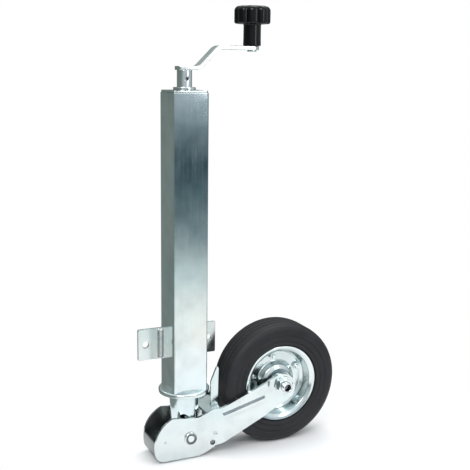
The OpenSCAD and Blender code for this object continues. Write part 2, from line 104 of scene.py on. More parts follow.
def piece(name, bm, node, material, sharp=38):
    """Makes the finished piece that stands for a CAD node and moves with its body."""
    bmesh.ops.remove_doubles(bm, verts=bm.verts, dist=0.0005)
    bmesh.ops.recalc_face_normals(bm, faces=bm.faces)
    if bm.calc_volume(signed=True) < 0:
        bmesh.ops.reverse_faces(bm, faces=bm.faces)
    for face in bm.faces:
        face.smooth = True
    for edge in bm.edges:
        edge.smooth = len(edge.link_faces) == 2 and edge.calc_face_angle(0) < math.radians(sharp)
    mesh = bpy.data.meshes.new(name)
    bm.to_mesh(mesh)
    bm.free()
    mesh.transform(TO_ROW)
    mesh.materials.append(material)
    made = bpy.data.objects.new(name, mesh)
    scene.collection.objects.link(made)
    weighted = made.modifiers.new("flat faces stay flat", "WEIGHTED_NORMAL")
    weighted.keep_sharp = True
    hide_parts(node)
    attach(made, BODY_OF[node])
    return made


def paint_where(made, material, chosen):
    """A second material on the faces whose centre, in millimetres about the pivot, passes a test."""
    made.data.materials.append(material)
    for face in made.data.polygons:
        if chosen((face.center - PIVOT) / MM):
            face.material_index = 1


def skin(bm, rings, wrap=False, capped=False):
    """Joins rings of points into a surface. wrap joins the last to the first; capped closes both ends."""
    made = [[bm.verts.new(point) for point in ring] for ring in rings]
    count = len(made[0])
    pairs = list(zip(made, made[1:])) + ([(made[-1], made[0])] if wrap else [])
    for near, far in pairs:
        for i in range(count):
            j = (i + 1) % count
            bm.faces.new((near[i], near[j], far[j], far[i]))
    if capped:
        bm.faces.new(made[0])
        bm.faces.new(made[-1])


def about_y(centre, radius, along, angle):
    """A point about an axis that runs along Y."""
    x = centre[0] + radius * math.cos(angle)
    z = centre[2] + radius * math.sin(angle)
    return Vector((x, centre[1] + along, z))


def about_z(centre, radius, along, angle):
    """A point about an axis that runs along Z."""
    x = centre[0] + radius * math.cos(angle)
    y = centre[1] + radius * math.sin(angle)
    return Vector((x, y, centre[2] + along))


def turned(profile, centre, place, steps=96):
    """A closed profile of (radius, distance along the axis) turned about the axis that place() uses."""
    rings = [[place(centre, r, h, math.tau * i / steps) for i in range(steps)] for r, h in profile]
    bm = bmesh.new()
    skin(bm, rings, wrap=True)
    return bm


def rounded(points, steps=5):
    """A polyline whose corners are rounded where a point gives a radius as its third number."""
    out = []
    count = len(points)
    for k, point in enumerate(points):
        here = Vector(point[:2])
        radius = point[2] if len(point) > 2 else 0
        if radius == 0:
            out.append(here)
            continue
        before = (Vector(points[k - 1][:2]) - here).normalized()
        after = (Vector(points[(k + 1) % count][:2]) - here).normalized()
        half = before.angle(after) / 2
        centre = here + (before + after).normalized() * (radius / math.sin(half))
        start = here + before * (radius / math.tan(half)) - centre
        end = here + after * (radius / math.tan(half)) - centre
        for i in range(steps + 1):
            out.append(centre + start.lerp(end, i / steps).normalized() * radius)
    return out


def arc(centre, radius, start, end, steps):
    """Points on an arc, angles in degrees."""
    angles = [math.radians(start + (end - start) * i / steps) for i in range(steps + 1)]
    return [Vector((centre[0] + radius * math.cos(a), centre[1] + radius * math.sin(a))) for a in angles]


def ease(value, low, high):
    """0 below low, 1 above high and a smooth step between."""
    t = slope(value, low, high)
    return t * t * (3 - 2 * t)


def slope(value, low, high):
    """0 below low, 1 above high and a straight line between."""
    return min(max((value - low) / (high - low), 0), 1)


def segment_distance(point, start, end):
    along = end - start
    t = min(max((point - start).dot(along) / along.length_squared, 0), 1)
    return (point - start - along * t).length


def inside(point, outline):
    """True where a point is in a closed outline."""
    found = False
    for a, b in zip(outline, outline[1:] + outline[:1]):
        if (a[1] > point[1]) != (b[1] > point[1]):
            if point[0] < a[0] + (b[0] - a[0]) * (point[1] - a[1]) / (b[1] - a[1]):
                found = not found
    return found


def resampled(outline, step):
    """The outline with no gap between points longer than step."""
    out = []
    for a, b in zip(outline, outline[1:] + outline[:1]):
        parts = max(1, math.ceil((b - a).length / step))
        out += [a.lerp(b, i / parts) for i in range(parts)]
    return out


HOLE_SIDES = 24
FOLD_PARTS = 32


def sheet_plan(outline, holes, creases, step):
    """Points and fixed edges of a sheet's flat mesh: its rims, its crease lines and a staggered grid."""
    rim = resampled(outline, step)
    last = 360 - 360 / HOLE_SIDES
    loops = [rim] + [arc((x, z), r, 0, last, HOLE_SIDES - 1) for x, z, r in holes]
    points = [p for loop in loops for p in loop]
    folds = [[a.lerp(b, i / FOLD_PARTS) for i in range(FOLD_PARTS + 1)] for a, b in creases]
    edges = []
    for k in range(len(folds)):
        first = len(points) + (FOLD_PARTS + 1) * k
        edges += [(first + i, first + i + 1) for i in range(FOLD_PARTS)]
    fixed = rim + [p for fold in folds for p in fold]
    first = 0
    for loop in loops:
        edges += [(first + i, first + (i + 1) % len(loop)) for i in range(len(loop))]
        first += len(loop)
    points += [p for fold in folds for p in fold]
    xs, zs = [p.x for p in rim], [p.y for p in rim]
    rows = int((max(zs) - min(zs)) / step)
    columns = int((max(xs) - min(xs)) / step)
    for row in range(1, rows + 1):
        for column in range(1, columns + 1):
            spot = Vector((min(xs) + (column + 0.5 * (row % 2)) * step, min(zs) + row * step))
            clear = all((spot - Vector((x, z))).length > r + step / 2 for x, z, r in holes)
            if clear and inside(spot, rim) and min((spot - p).length for p in fixed) > step * 0.6:
                points.append(spot)
    return points, edges


def sheet_part(outline, holes, creases, near, far, step, edge):
    """A pressed sheet with round holes (x, z, radius) and crease lines, its two faces given as functions."""
    points, edges = sheet_plan(outline, holes, creases, step)
    spots, _, faces, *_ = delaunay_2d_cdt(points, edges, [], 1, 1e-5)
    bm = bmesh.new()
    front = [bm.verts.new(near(p.x, p.y)) for p in spots]
    back = [bm.verts.new(far(p.x, p.y)) for p in spots]
    for face in faces:
        centre = sum((spots[i] for i in face), Vector((0, 0))) / len(face)
        if all((centre - Vector((x, z))).length > r * 0.97 for x, z, r in holes):
            bm.faces.new([front[i] for i in face])
            bm.faces.new([back[i] for i in reversed(face)])
    open_edges = [e for e in bm.edges if len(e.link_faces) == 1]
    opposite = dict(zip(front, back))
    rims = []
    for e in open_edges:
        a, b = e.verts
        if a in opposite and b in opposite:
            bm.faces.new((a, b, opposite[b], opposite[a]))
            rims.append(e)
    bmesh.ops.delete(bm, geom=[v for v in bm.verts if not v.link_faces], context="VERTS")
    rims += [e for e in open_edges if e.is_valid and e not in rims]
    bmesh.ops.bevel(
        bm, geom=rims, offset=edge, segments=2, profile=0.5, affect="EDGES", clamp_overlap=True
    )
    return bm


def softened(node, material, width=0.5, limit=32):
    """A CAD part's own shape with its sharp edges rounded off."""
    bm = bmesh.new()
    bm.from_mesh(frame["nodes"][node].data)
    bm.transform(TO_ROW.inverted())
    bmesh.ops.remove_doubles(bm, verts=bm.verts, dist=0.001)
    bmesh.ops.dissolve_limit(bm, angle_limit=math.radians(1), verts=bm.verts, edges=bm.edges)
    sharp = [e for e in bm.edges if len(e.link_faces) == 2 and e.calc_face_angle(0) > math.radians(limit)]
    bmesh.ops.bevel(
        bm, geom=sharp, offset=width, segments=2, profile=0.5, affect="EDGES", clamp_overlap=False
    )
    return piece(node + "_softened", bm, node, material)


# ---- Materials ----

def new_node(tree, kind, **settings):
    node = tree.nodes.new(kind)
    for key, value in settings.items():
        setattr(node, key, value)
    return node


def colour_ramp(tree, value, stops):
    """Colour of a value, through stops of (place, colour) from first to last."""
    node = new_node(tree, "ShaderNodeValToRGB")
    elements = node.color_ramp.elements
    elements[0].position, elements[0].color = stops[0][0], (*stops[0][1], 1)
    elements[1].position, elements[1].color = stops[-1][0], (*stops[-1][1], 1)
    for place, colour in stops[1:-1]:
        elements.new(place).color = (*colour, 1)
    tree.links.new(value, node.inputs["Fac"])
    return node.outputs["Color"]


class Nodes:
    """A material's node tree, with short ways to add the nodes that the finishes share."""

    def __init__(self, name):
        self.material = bpy.data.materials.new(name)
        self.material.use_nodes = True
        self.tree = self.material.node_tree
        self.shader = self.tree.nodes["Principled BSDF"]
        self.where = self.add("ShaderNodeTexCoord").outputs["Object"]

    def add(self, kind, **settings):
        return new_node(self.tree, kind, **settings)

    def link(self, source, target):
        self.tree.links.new(source, target)

    def noise(self, scale, detail=3, stretch=(1, 1, 1), roughness=0.5):
        spread = self.add("ShaderNodeMapping")
        spread.inputs["Scale"].default_value = stretch
        self.link(self.where, spread.inputs["Vector"])
        noise = self.add("ShaderNodeTexNoise")
        noise.inputs["Scale"].default_value = scale
        noise.inputs["Detail"].default_value = detail
        noise.inputs["Roughness"].default_value = roughness
        self.link(spread.outputs["Vector"], noise.inputs["Vector"])
        return noise.outputs["Fac"]

    def ramp(self, value, stops):
        return colour_ramp(self.tree, value, stops)

    def span(self, value, low, high, start=0.3, end=0.7):
        span = self.add("ShaderNodeMapRange")
        for socket, number in zip(("From Min", "From Max", "To Min", "To Max"), (start, end, low, high)):
            span.inputs[socket].default_value = number
        self.link(value, span.inputs["Value"])
        return span.outputs["Result"]

    def product(self, first, second, how="MULTIPLY"):
        maths = self.add("ShaderNodeMath", operation=how)
        self.link(first, maths.inputs[0])
        self.link(second, maths.inputs[1])
        return maths.outputs["Value"]

    def bump(self, heights):
        """Heights as (value, distance in metres, strength), one laid over the other."""
        normal = None
        for value, distance, strength in heights:
            bump = self.add("ShaderNodeBump")
            bump.inputs["Distance"].default_value = distance
            bump.inputs["Strength"].default_value = strength
            self.link(value, bump.inputs["Height"])
            if normal:
                self.link(normal, bump.inputs["Normal"])
            normal = bump.outputs["Normal"]
        self.link(normal, self.shader.inputs["Normal"])


def tinted(colour, factor, shift=(0, 0, 0)):
    return tuple(min(c * factor + s, 1) for c, s in zip(colour, shift))


def plated(name, slot, roughness=(0.12, 0.22), stretch=(1, 1, 1), grain=0.3, waves=0.0004, shade=1.0):
    """Bright zinc: clouded blue and straw passivation, drawing lines, small specks and a fine grain."""
    n = Nodes(name)
    base = COLOUR_OF[slot]
    cloud = n.noise(26, 4)
    tint = n.noise(9, 2)
    lines = n.noise(420, 3, stretch)
    specks = n.noise(1500, 1)
    clouded = n.ramp(cloud, [(0.30, tinted(base, 0.88 * shade)), (0.52, tinted(base, shade)),
                             (0.75, tinted(base, 1.06 * shade))])
    passivated = n.ramp(tint, [
        (0.35, (0.89, 0.98, 0.96)), (0.52, (0.95, 1, 0.97)), (0.68, (0.99, 0.99, 0.95)),
    ])
    full = n.add("ShaderNodeMix", data_type="RGBA", blend_type="MULTIPLY")
    full.inputs["Factor"].default_value = 1
    n.link(clouded, full.inputs[6])
    n.link(passivated, full.inputs[7])
    n.link(full.outputs[2], n.shader.inputs["Base Color"])
    n.shader.inputs["Metallic"].default_value = 1
    worn = n.product(n.span(cloud, roughness[0], roughness[1]), n.span(lines, -0.02, 0.03), "ADD")
    n.link(worn, n.shader.inputs["Roughness"])
    n.bump([(cloud, waves, 0.12), (lines, 0.00002, grain), (specks, 0.00001, grain)])
    return n.material


def bare_metal(name, slot, roughness=(0.22, 0.38), stretch=(1, 1, 1)):
    """Machined or oiled metal with turning lines and darker stains."""
    n = Nodes(name)
    base = COLOUR_OF[slot]
    stain = n.noise(60, 4)
    lines = n.noise(700, 2, stretch)
    stained = n.ramp(stain, [(0.3, tinted(base, 0.7)), (0.7, tinted(base, 1.1))])
    n.link(stained, n.shader.inputs["Base Color"])
    n.shader.inputs["Metallic"].default_value = 1
    n.link(n.span(stain, *roughness), n.shader.inputs["Roughness"])
    n.bump([(lines, 0.00004, 0.4)])
    return n.material


def weld_metal():
    """Plated weld: duller than the sheet, with heat tint and spatter."""
    n = Nodes("plated weld")
    base = COLOUR_OF["weld_steel"]
    heat = n.noise(140, 3)
    spatter = n.noise(900, 2)
    n.link(
        n.ramp(heat, [(0.3, tinted(base, 0.75)), (0.5, base), (0.7, (0.66, 0.6, 0.5))]),
        n.shader.inputs["Base Color"],
    )
    n.shader.inputs["Metallic"].default_value = 1
    n.link(n.span(heat, 0.3, 0.5), n.shader.inputs["Roughness"])
    n.bump([(heat, 0.0004, 0.5), (spatter, 0.0001, 0.5)])
    return n.material


def rubber():
    """Tyre rubber: matt black, greyer where it has bloomed, with a fine moulded grain."""
    n = Nodes("tyre rubber")
    base = COLOUR_OF["tyre_rubber"]
    bloom = n.noise(22, 5, roughness=0.6)
    grain = n.noise(2400, 2)
    flow = n.noise(160, 3)
    n.link(
        n.ramp(bloom, [(0.3, tinted(base, 0.3)), (0.6, tinted(base, 0.5)), (0.8, tinted(base, 0.95))]),
        n.shader.inputs["Base Color"],
    )
    n.link(n.span(bloom, 0.42, 0.62), n.shader.inputs["Roughness"])
    n.shader.inputs["Specular IOR Level"].default_value = 0.3
    n.bump([(flow, 0.0003, 0.25), (grain, 0.00005, 0.5)])
    return n.material


def moulding(name, slot, roughness, grain, gloss=0.5, shade=1.0):
    """Moulded plastic with a slight orange peel, fine scuffs and handling marks in its gloss."""
    n = Nodes(name)
    base = COLOUR_OF[slot]
    wear = n.noise(75, 5, roughness=0.65)
    peel = n.noise(420, 2)
    scuffs = n.noise(900, 2, (1, 1, 0.05))
    n.link(
        n.ramp(wear, [(0.35, tinted(base, 0.3 * shade)), (0.75, tinted(base, 0.7 * shade))]),
        n.shader.inputs["Base Color"],
    )
    n.shader.inputs["Specular IOR Level"].default_value = gloss
    polish = n.product(n.span(wear, *roughness), n.span(scuffs, 0, 0.06), "ADD")
    n.link(polish, n.shader.inputs["Roughness"])
    n.bump([(peel, 0.00008, grain), (scuffs, 0.00002, 0.3)])
    return n.material


ZINC_TUBE = plated("zinc, drawn tube", "zinc_tube", (0.07, 0.11), (1, 1, 0.03), 0.2, 0.0001)
ZINC_SHEET = plated("zinc, pressed sheet", "zinc_pressing", (0.12, 0.22), shade=0.9)
# Darker zinc that paints shade: the inner faces of the arms round the pivot, the nose web and the pivot
# pin's groove.
ZINC_PAINTED_SHADE = plated("zinc, painted shade", "zinc_pressing", (0.25, 0.4), shade=0.32)
ZINC_FASTENER = plated("zinc, fastener", "zinc_fastener", (0.10, 0.18))
WELD = weld_metal()
DARK = bare_metal("oiled steel", "dark_steel")
BEARING = bare_metal("ground steel", "bearing_steel", (0.08, 0.18))
BRONZE = bare_metal("turned bronze", "bronze", (0.2, 0.35), (0.1, 0.1, 1))
NYLON = moulding("nylon", "guide_plastic", (0.4, 0.55), 0.3)
KNOB_BLACK = moulding("gloss black plastic", "knob_plastic", (0.10, 0.18), 0.12, 0.28, 0.15)
RUBBER = rubber()

FINISH_OF = {
    "zinc_tube": ZINC_TUBE,
    "zinc_pressing": ZINC_SHEET,
    "zinc_fastener": ZINC_FASTENER,
    "weld_steel": WELD,
    "dark_steel": DARK,
    "bearing_steel": BEARING,
    "bronze": BRONZE,
    "guide_plastic": NYLON,
    "knob_plastic": KNOB_BLACK,
    "tyre_rubber": RUBBER,
}

for node_name, node in frame["nodes"].items():
    for place in range(len(node.material_slots)):
        node.material_slots[place].material = FINISH_OF[SLOT_OF[node_name]]


# ---- Fork ----

ARM_T = 5
GAP_PIVOT = 30.5
GAP_TYRE = 39
GAP_AXLE = 36
RIB = (Vector((66, 37)), Vector((151, 59)))
RIB_LONG = (RIB[1] - RIB[0]).length
RIB_T = 1.1
RIB_LINES = (-8.5, -5, 1.2, 7.2)
SIGHT_HOLE = (45.8, -16.3, 5.5)
DIMPLE = Vector((-51.5, 2.3))
SLOT_MARK = (Vector((47, 2)), Vector((55, 4)))
PAINTED_SHADE_REACH = 40


def arm_outline():
    """Side view of an arm, the same line as the CAD part's."""
    line = [Vector((16, 39))]
    line += arc((-11, -11), 61, 114.5, 196, 16)
    line += arc((-54, -22.5), 16, 200, 270, 6)
    line += [Vector((20, -38.5)), Vector((36, -32.5)), Vector((52, -23))]
    line += arc((192, 74), 29.5, -66, 111.5, 24)
    return line + [Vector((60, 53)), Vector((44, 50)), Vector((34, 45))]


def arm_offset(x):
    """Distance of an arm's inner face from the middle plane: joggled out beside the tyre, in at the axle."""
    out = (GAP_TYRE - GAP_PIVOT) * ease(x, 48, 68)
    back = (GAP_TYRE - GAP_AXLE) * ease(x, 155, 167)
    return GAP_PIVOT + out - back


def on_rib(spot):
    """Distance along the rib's middle line and above it."""
    way = (RIB[1] - RIB[0]).normalized()
    return way.dot(spot - RIB[0]), way.cross(spot - RIB[0])


def rib_creases():
    """Lines where the rib's two sides start and end."""
    way = (RIB[1] - RIB[0]).normalized()
    up = Vector((-way.y, way.x))
    return [(RIB[0] - 3 * way + up * v, RIB[1] + 3 * way + up * v) for v in RIB_LINES]


def arm_pressing(x, z):
    """How far the outer face stands out or is pressed in at a point."""
    spot = Vector((x, z))
    along, above = on_rib(spot)
    ends = slope(along, -5, -1) * (1 - slope(along, RIB_LONG + 1, RIB_LONG + 5))
    rib = RIB_T * ends * slope(above, *RIB_LINES[:2]) * (1 - slope(above, *RIB_LINES[2:]))
    dimple = 1.6 * (1 - ease((spot - DIMPLE).length, 1.5, 4.5))
    mark = 1.8 * (1 - ease(segment_distance(spot, *SLOT_MARK), 0.6, 2.2))
    return rib - dimple - mark


def in_painted_shade(spot):
    """True on the inner face of an arm, round the pivot, where the darker zinc paints shade."""
    return spot.x < PAINTED_SHADE_REACH and abs(spot.y) < arm_offset(spot.x) + ARM_T / 2


def crisp_rib(made):
    """Marks the edges on the rib's lines as sharp, so that its two sides shade as flat strips."""
    spots = [(v.co - PIVOT) / MM for v in made.data.vertices]
    places = [on_rib(Vector((p.x, p.z))) for p in spots]
    for edge in made.data.edges:
        a, b = (places[i] for i in edge.vertices)
        if -4 < min(a[0], b[0]) and max(a[0], b[0]) < RIB_LONG + 4:
            if any(abs(a[1] - line) < 0.1 and abs(b[1] - line) < 0.1 for line in RIB_LINES):
                edge.use_edge_sharp = True


def fork_arm(node, side):
    holes = [(0, 0, 8), (AXLE.x, AXLE.z, 10), SIGHT_HOLE]
    bm = sheet_part(
        arm_outline(),
        holes,
        rib_creases(),
        lambda x, z: (x, side * (arm_offset(x) + ARM_T + arm_pressing(x, z)), z),
        lambda x, z: (x, side * (arm_offset(x) + 0.6 * max(arm_pressing(x, z), 0)), z),
        step=2.6,
        edge=0.9,
    )
    made = piece(node + "_pressed", bm, node, ZINC_SHEET, sharp=50)
    # The arm's inner face round the pivot is given the darker zinc as painted shade.
    paint_where(made, ZINC_PAINTED_SHADE, in_painted_shade)
    crisp_rib(made)


# ---- Wheel ----

def tyre():
    """Grooved tread, round shoulders and ringed side walls, hollowed to sit on the rim."""
    width = box("tyre")[1].y - middle("tyre").y
    crown = box("tyre")[1].z - AXLE.z
    shoulder = 16
    outer = [(78.4, width - 5.2), (79.4, width - 2.6, 1.5), (82.5, width - 1.2, 2), (86, width - 0.6, 1)]
    outer += [(87, width - 1.6, 0.4), (88, width - 1.6, 0.4), (89, width - 0.4, 1), (97.5, width, 2)]
    outer += [(98.4, width - 1, 0.4), (99.4, width - 1, 0.4), (100.2, width, 0.5), (103, width)]
    outer += [tuple(p) for p in arc((crown - shoulder, width - shoulder), shoulder, 80, 8, 12)]
    grooves = [24, 18, 12, 6, 0]
    deep = [2.6, 0.7, 2.8, 0.7, 2.8]
    tread = []
    for place, depth in zip(grooves, deep):
        top = crown if place < 19 else crown - 0.7
        opening = 1.25 if depth > 1 else 0.6
        tread += [(top, place + opening), (top - depth, place + opening * 0.55)]
        if place:
            tread += [(top - depth, place - opening * 0.55), (top, place - opening)]
    side = [tuple(p) for p in rounded(outer, 3)] + tread
    inner = [(78.2, width - 7.4), (69.8, 25), (66.6, 4.6)]
    mirrored = [(r, -h) for r, h in reversed(side)]
    profile = side + mirrored + [(r, -h) for r, h in inner] + list(reversed(inner))
    piece("tyre_moulded", turned(profile, AXLE, about_y, 168), "tyre", RUBBER, sharp=42)


def rim_half(node, side):
    """One pressed half: rolled lip, deep well, flat bolting ring and hub dome."""
    line = [(17.2, 20.5), (27, 19.4, 6), (34, 15.5, 4), (39.5, 3.4, 3.5), (57.5, 3.1, 3), (62.6, 6.5, 3)]
    line += [(66.2, 25.6, 4), (72, 29.3, 3), (76, 30.2)]
    face = rounded(line, 6)
    lip = arc((75.9, 29.5), 1.2, 80, -100, 6)
    back = []
    for k, here in enumerate(face):
        step = (face[min(k + 1, len(face) - 1)] - face[max(k - 1, 0)]).normalized()
        back.append(here + Vector((step.y, -step.x)) * 2.3)
    profile = [(p.x, side * p.y) for p in face + lip + list(reversed(back))]
    piece(node + "_pressed", turned(profile, AXLE, about_y, 144), node, ZINC_SHEET, sharp=55)


def hex_rings(place, centre, radius, start, end, bore, turn=0.0):
    """Rings of a chamfered hexagon from start to end along an axis; the far end carries the chamfer."""
    count = 72
    flat = radius * math.cos(math.pi / 6)
    length = end - start
    step = math.copysign(1, length)
    levels = [0, 0.12 * abs(length), 0.55 * abs(length)]
    levels += [abs(length) - d for d in (2.0, 1.5, 1.1, 0.8, 0.5, 0.25, 0)]
    rings = []
    for level in levels:
        limit = flat * 0.97 + (abs(length) - level) / math.tan(math.radians(30))
        ring = []
        for i in range(count):
            a = math.tau * i / count
            edge = flat / math.cos((a % (math.pi / 3)) - math.pi / 6)
            ring.append(place(centre, min(edge, limit), start + step * level, a + turn))
        rings.append(ring)
    for r, level in ((bore + 0.8, end), (bore, end - step * 0.8), (bore, start)):
        rings.append([place(centre, r, level, math.tau * i / count + turn) for i in range(count)])
    return rings


def nuts(node, centres, radius, start, end, bore, turns):
    bm = bmesh.new()
    for centre, turn in zip(centres, turns):
        skin(bm, hex_rings(about_y, centre, radius, start, end, bore, turn), wrap=True)
    piece(node + "_chamfered", bm, node, ZINC_FASTENER, sharp=28)


RIM_BOLTS = 5
BOLT_CIRCLE = 51


def rim_bolt_centres():
    places = []
    for i in range(RIM_BOLTS):
        a = math.radians(26 + 360 / RIM_BOLTS * i)
        places.append(AXLE + Vector((BOLT_CIRCLE * math.cos(a), 0, BOLT_CIRCLE * math.sin(a))))
    return places


def rim_bolts():
    """Round-cornered hexagon heads behind the disc, and the threaded ends that carry the nuts in front."""
    bm = bmesh.new()
    for i, centre in enumerate(rim_bolt_centres()):
        rings = hex_rings(about_y, centre, 7.5, 2.5, 7.5, 0.5, 0.3 * i)
        skin(bm, rings, wrap=True)
        rod = [(0.4, -11.5), (3.2, -11.5), (4, -10.7)]
        rod += [(3.95 if k % 2 else 3.55, -10.2 + 0.5 * k) for k in range(18)]
        rod += [(4, -1), (4, 3), (0.4, 3)]
        skin(bm, [[about_y(centre, r, h, math.tau * k / 24) for k in range(24)] for r, h in rod], wrap=True)
    piece("rim_bolts_threaded", bm, "rim_bolts", ZINC_FASTENER, sharp=28)


# ---- Axle ----

def threaded(profile, low, high, pitch, crest, depth):
    """Adds thread ridges to a turned profile between low and high."""
    count = int(abs(high - low) / pitch * 2)
    step = (high - low) / count
    return profile + [(crest - (depth if k % 2 else 0), low + step * k) for k in range(count + 1)]


def pivot_pin():
    """Head with a rounded rim and a turned groove round its riveted centre; a plain shank behind."""
    low, high = box("pivot_pin")
    middle_of_pin = middle("pivot_pin")
    centre = (middle_of_pin.x, 0, middle_of_pin.z)
    reach = (high.x - low.x) / 2
    arm_face = -GAP_PIVOT - ARM_T
    profile = [(0.4, low.y + 1), (6.2, low.y + 0.8), (7, low.y + 1.6), (7.4, low.y + 2.6)]
    profile += [(10.2, low.y + 2.6), (10.6, low.y + 0.6), (11, low.y)]
    profile += [(reach - 0.9, low.y), (reach - 0.2, low.y + 0.4), (reach, low.y + 1.2)]
    profile += [(reach, arm_face), (8, arm_face), (8, high.y - 1), (7, high.y), (0.4, high.y)]

    def in_groove(spot):
        return 6.4 < math.hypot(spot.x - centre[0], spot.z - centre[2]) < 10.8 and spot.y < arm_face

    bm = turned(profile, centre, about_y, 64)
    made = piece("pivot_pin_turned", bm, "pivot_pin", ZINC_FASTENER, sharp=30)
    # The groove is given the darker zinc as painted shade.
    paint_where(made, ZINC_PAINTED_SHADE, in_groove)


def axle_bolt():
    """Hexagon head at the back, plain shank, and a drilled threaded end in front."""
    low, high = box("axle_bolt")
    front, back = low.y - AXLE.y, high.y - AXLE.y
    bm = bmesh.new()
    skin(bm, hex_rings(about_y, AXLE, 17, back - 9, back, 1, 0.2), wrap=True)
    profile = [(7.2, front + 13), (7.2, front + 0.7), (7.8, front), (8.8, front)]
    profile = threaded(profile, front + 1.2, front + 19, 1.5, 10, 0.9)
    profile += [(10, front + 20), (10, back - 8.8), (0.5, back - 8.8), (0.5, front + 17)]
    skin(bm, [[about_y(AXLE, r, h, math.tau * k / 64) for k in range(64)] for r, h in profile], wrap=True)

    def in_hollow(spot):
        spot = spot - AXLE
        return math.hypot(spot.x, spot.z) < 7.4 and spot.y < front + 20

    made = piece("axle_bolt_threaded", bm, "axle_bolt", ZINC_FASTENER, sharp=28)
    # The drilled hollow is given the dark oiled steel as painted shade in the bore.
    paint_where(made, DARK, in_hollow)


# ---- Crank ----

def crank_arm():
    """Flat bar with two smooth bends, round at the knob and with soft corners at the boss."""
    low, high = box("crank_arm")
    thick = 7
    lower, upper = low.z + thick / 2, high.z - thick / 2
    rise = upper - lower
    bend_x = 24.5
    line = rounded([(low.x, lower), (bend_x, lower, 17), (bend_x + rise, upper, 17), (high.x, upper)], 9)
    path = []
    for a, b in zip(line, line[1:]):
        parts = max(1, math.ceil((b - a).length / 4))
        path += [a.lerp(b, i / parts) for i in range(parts)]
    path.append(line[-1])
    tips = [0.15, 0.6, 1.4, 2.6, 4.2, 6.4, 9, 12]
    path += [Vector((high.x - t, upper)) for t in tips] + [Vector((low.x + t, lower)) for t in tips[:6]]
    path = sorted(path, key=lambda p: p.x)
    half = (high.y - low.y) / 2
    rings = []
    for k, here in enumerate(path):
        step = (path[min(k + 1, len(path) - 1)] - path[max(k - 1, 0)]).normalized()
        up = Vector((-step.y, step.x))
        from_knob = max(half - (high.x - here.x), 0)
        from_boss = max(4 - (here.x - low.x), 0)
        wide = min(math.sqrt(max(half * half - from_knob * from_knob, 0.3)),
                   half - 4 + math.sqrt(max(16 - from_boss * from_boss, 0)))
        edge = min(1.4, wide * 0.5)
        outline = [(-wide, -thick / 2), (wide, -thick / 2), (wide, thick / 2), (-wide, thick / 2)]
        section = rounded([(u, v, edge) for u, v in outline], 3)
        rings.append([(here.x + up.x * v, u, here.y + up.y * v) for u, v in section])
    bm = bmesh.new()
    skin(bm, rings, capped=True)
    piece("crank_arm_bent", bm, "crank_arm", ZINC_SHEET, sharp=50)


def knob_radius(angle, lobes=8, reach=33.5, lobe=9.5, waist=28):
    """Radius of the knob's lobed outline, with soft valleys between the lobes."""
    off = (angle * lobes / math.tau) % 1 - 0.5
    off *= math.tau / lobes
    centre = reach - lobe
    inner = lobe * lobe - (centre * math.sin(off)) ** 2
    if inner <= 0:
        return waist
    tip = centre * math.cos(off) + math.sqrt(inner)
    return waist + (reach - waist) * ease(tip, waist - 3, reach + 1.2) ** 0.8


def knob():
    """Lobed head with rounded rims on a round stem, with a pocket for the cap."""
    low, high = box("knob")
    centre = Vector(((low.x + high.x) / 2, (low.y + high.y) / 2, low.z))
    tall = high.z - low.z
    stem, head_low = 16.5, tall - 33
    angles = [math.tau * i / 160 for i in range(160)]
    rings = []

    def ring(radius_of, height):
        rings.append([about_z(centre, radius_of(angle), height, angle) for angle in angles])

    for r, h in ((5.1, 1), (6, 0), (stem - 1.6, 0), (stem - 0.5, 0.5), (stem, 1.8), (stem - 0.3, 12)):
        ring(lambda a, r=r: r, h)
    for r, h in ((stem - 0.4, head_low - 3), (stem + 0.2, head_low - 1), (stem + 1.8, head_low)):
        ring(lambda a, r=r: r, h)
    ring(lambda a: knob_radius(a) - 4.5, head_low + 0.1)
    for turn in range(1, 6):
        a = math.radians(90 * turn / 5)
        ring(lambda t, a=a: knob_radius(t) - 4 * (1 - math.sin(a)), head_low + 4 * (1 - math.cos(a)))
    ring(knob_radius, head_low + 14)
    for turn in range(0, 9):
        a = math.radians(90 * turn / 8)
        ring(lambda t, a=a: knob_radius(t) - 9 * (1 - math.cos(a)), tall - 10 + 9 * math.sin(a))
    for r, h in ((14, tall - 0.4), (10.4, tall), (9.7, tall - 0.6), (9.6, tall - 15), (5.1, tall - 15)):
        ring(lambda a, r=r: r, h)
    bm = bmesh.new()
    skin(bm, rings, wrap=True)
    piece("knob_moulded", bm, "knob", KNOB_BLACK, sharp=60)


# ---- Housing ----

def plate_welds():
    """Rippled fillet beads in the corners between the tube and the plate."""
    low, high = box("plate_welds")
    bm = bmesh.new()
    ripple = 3.1
    rings_a_ripple = 6
    count = int((high.z - low.z) / (ripple / rings_a_ripple))
    base = Vector((34.6, 35.0))
    for side in (-1, 1):
        rings = []
        for k in range(count + 1):
            z = low.z + (high.z - low.z) * k / count
            phase = (k / rings_a_ripple) % 1
            ends = min(1, 0.55 + 0.45 * min(k, count - k) / rings_a_ripple)
            crest = 0.55 * math.sqrt(max(1 - phase * phase, 0))
            radius = (5.9 + crest + random.uniform(-0.12, 0.12)) * ends
            fan = [(base.x - 3, base.y)]
            fan += [(base.x + radius * math.cos(a), base.y + radius * 1.05 * math.sin(a))
                    for a in (math.radians(-100 + 12.5 * i) for i in range(9))]
            rings.append([(side * x, y, z + 0.8 * math.cos(math.pi * (i / 9 - 0.5)))
                          for i, (x, y) in enumerate(fan)])
        skin(bm, rings, capped=True)
    piece("plate_welds_rippled", bm, "plate_welds", WELD, sharp=60)


def collar():
    """Pressed flange with a rolled edge that turns down."""
    low, high = box("guide_collar")
    reach = (high.x - low.x) / 2
    profile = [(29.5, high.z - 3, 0.6), (reach - 3, high.z - 3, 1), (reach - 3, low.z, 0.7)]
    profile += [(reach, low.z, 0.7), (reach, high.z, 3.2), (29.5, high.z, 0.6)]
    bm = turned(rounded(profile, 5), (0, 0, 0), about_z, 128)
    piece("guide_collar_rolled", bm, "guide_collar", ZINC_SHEET)


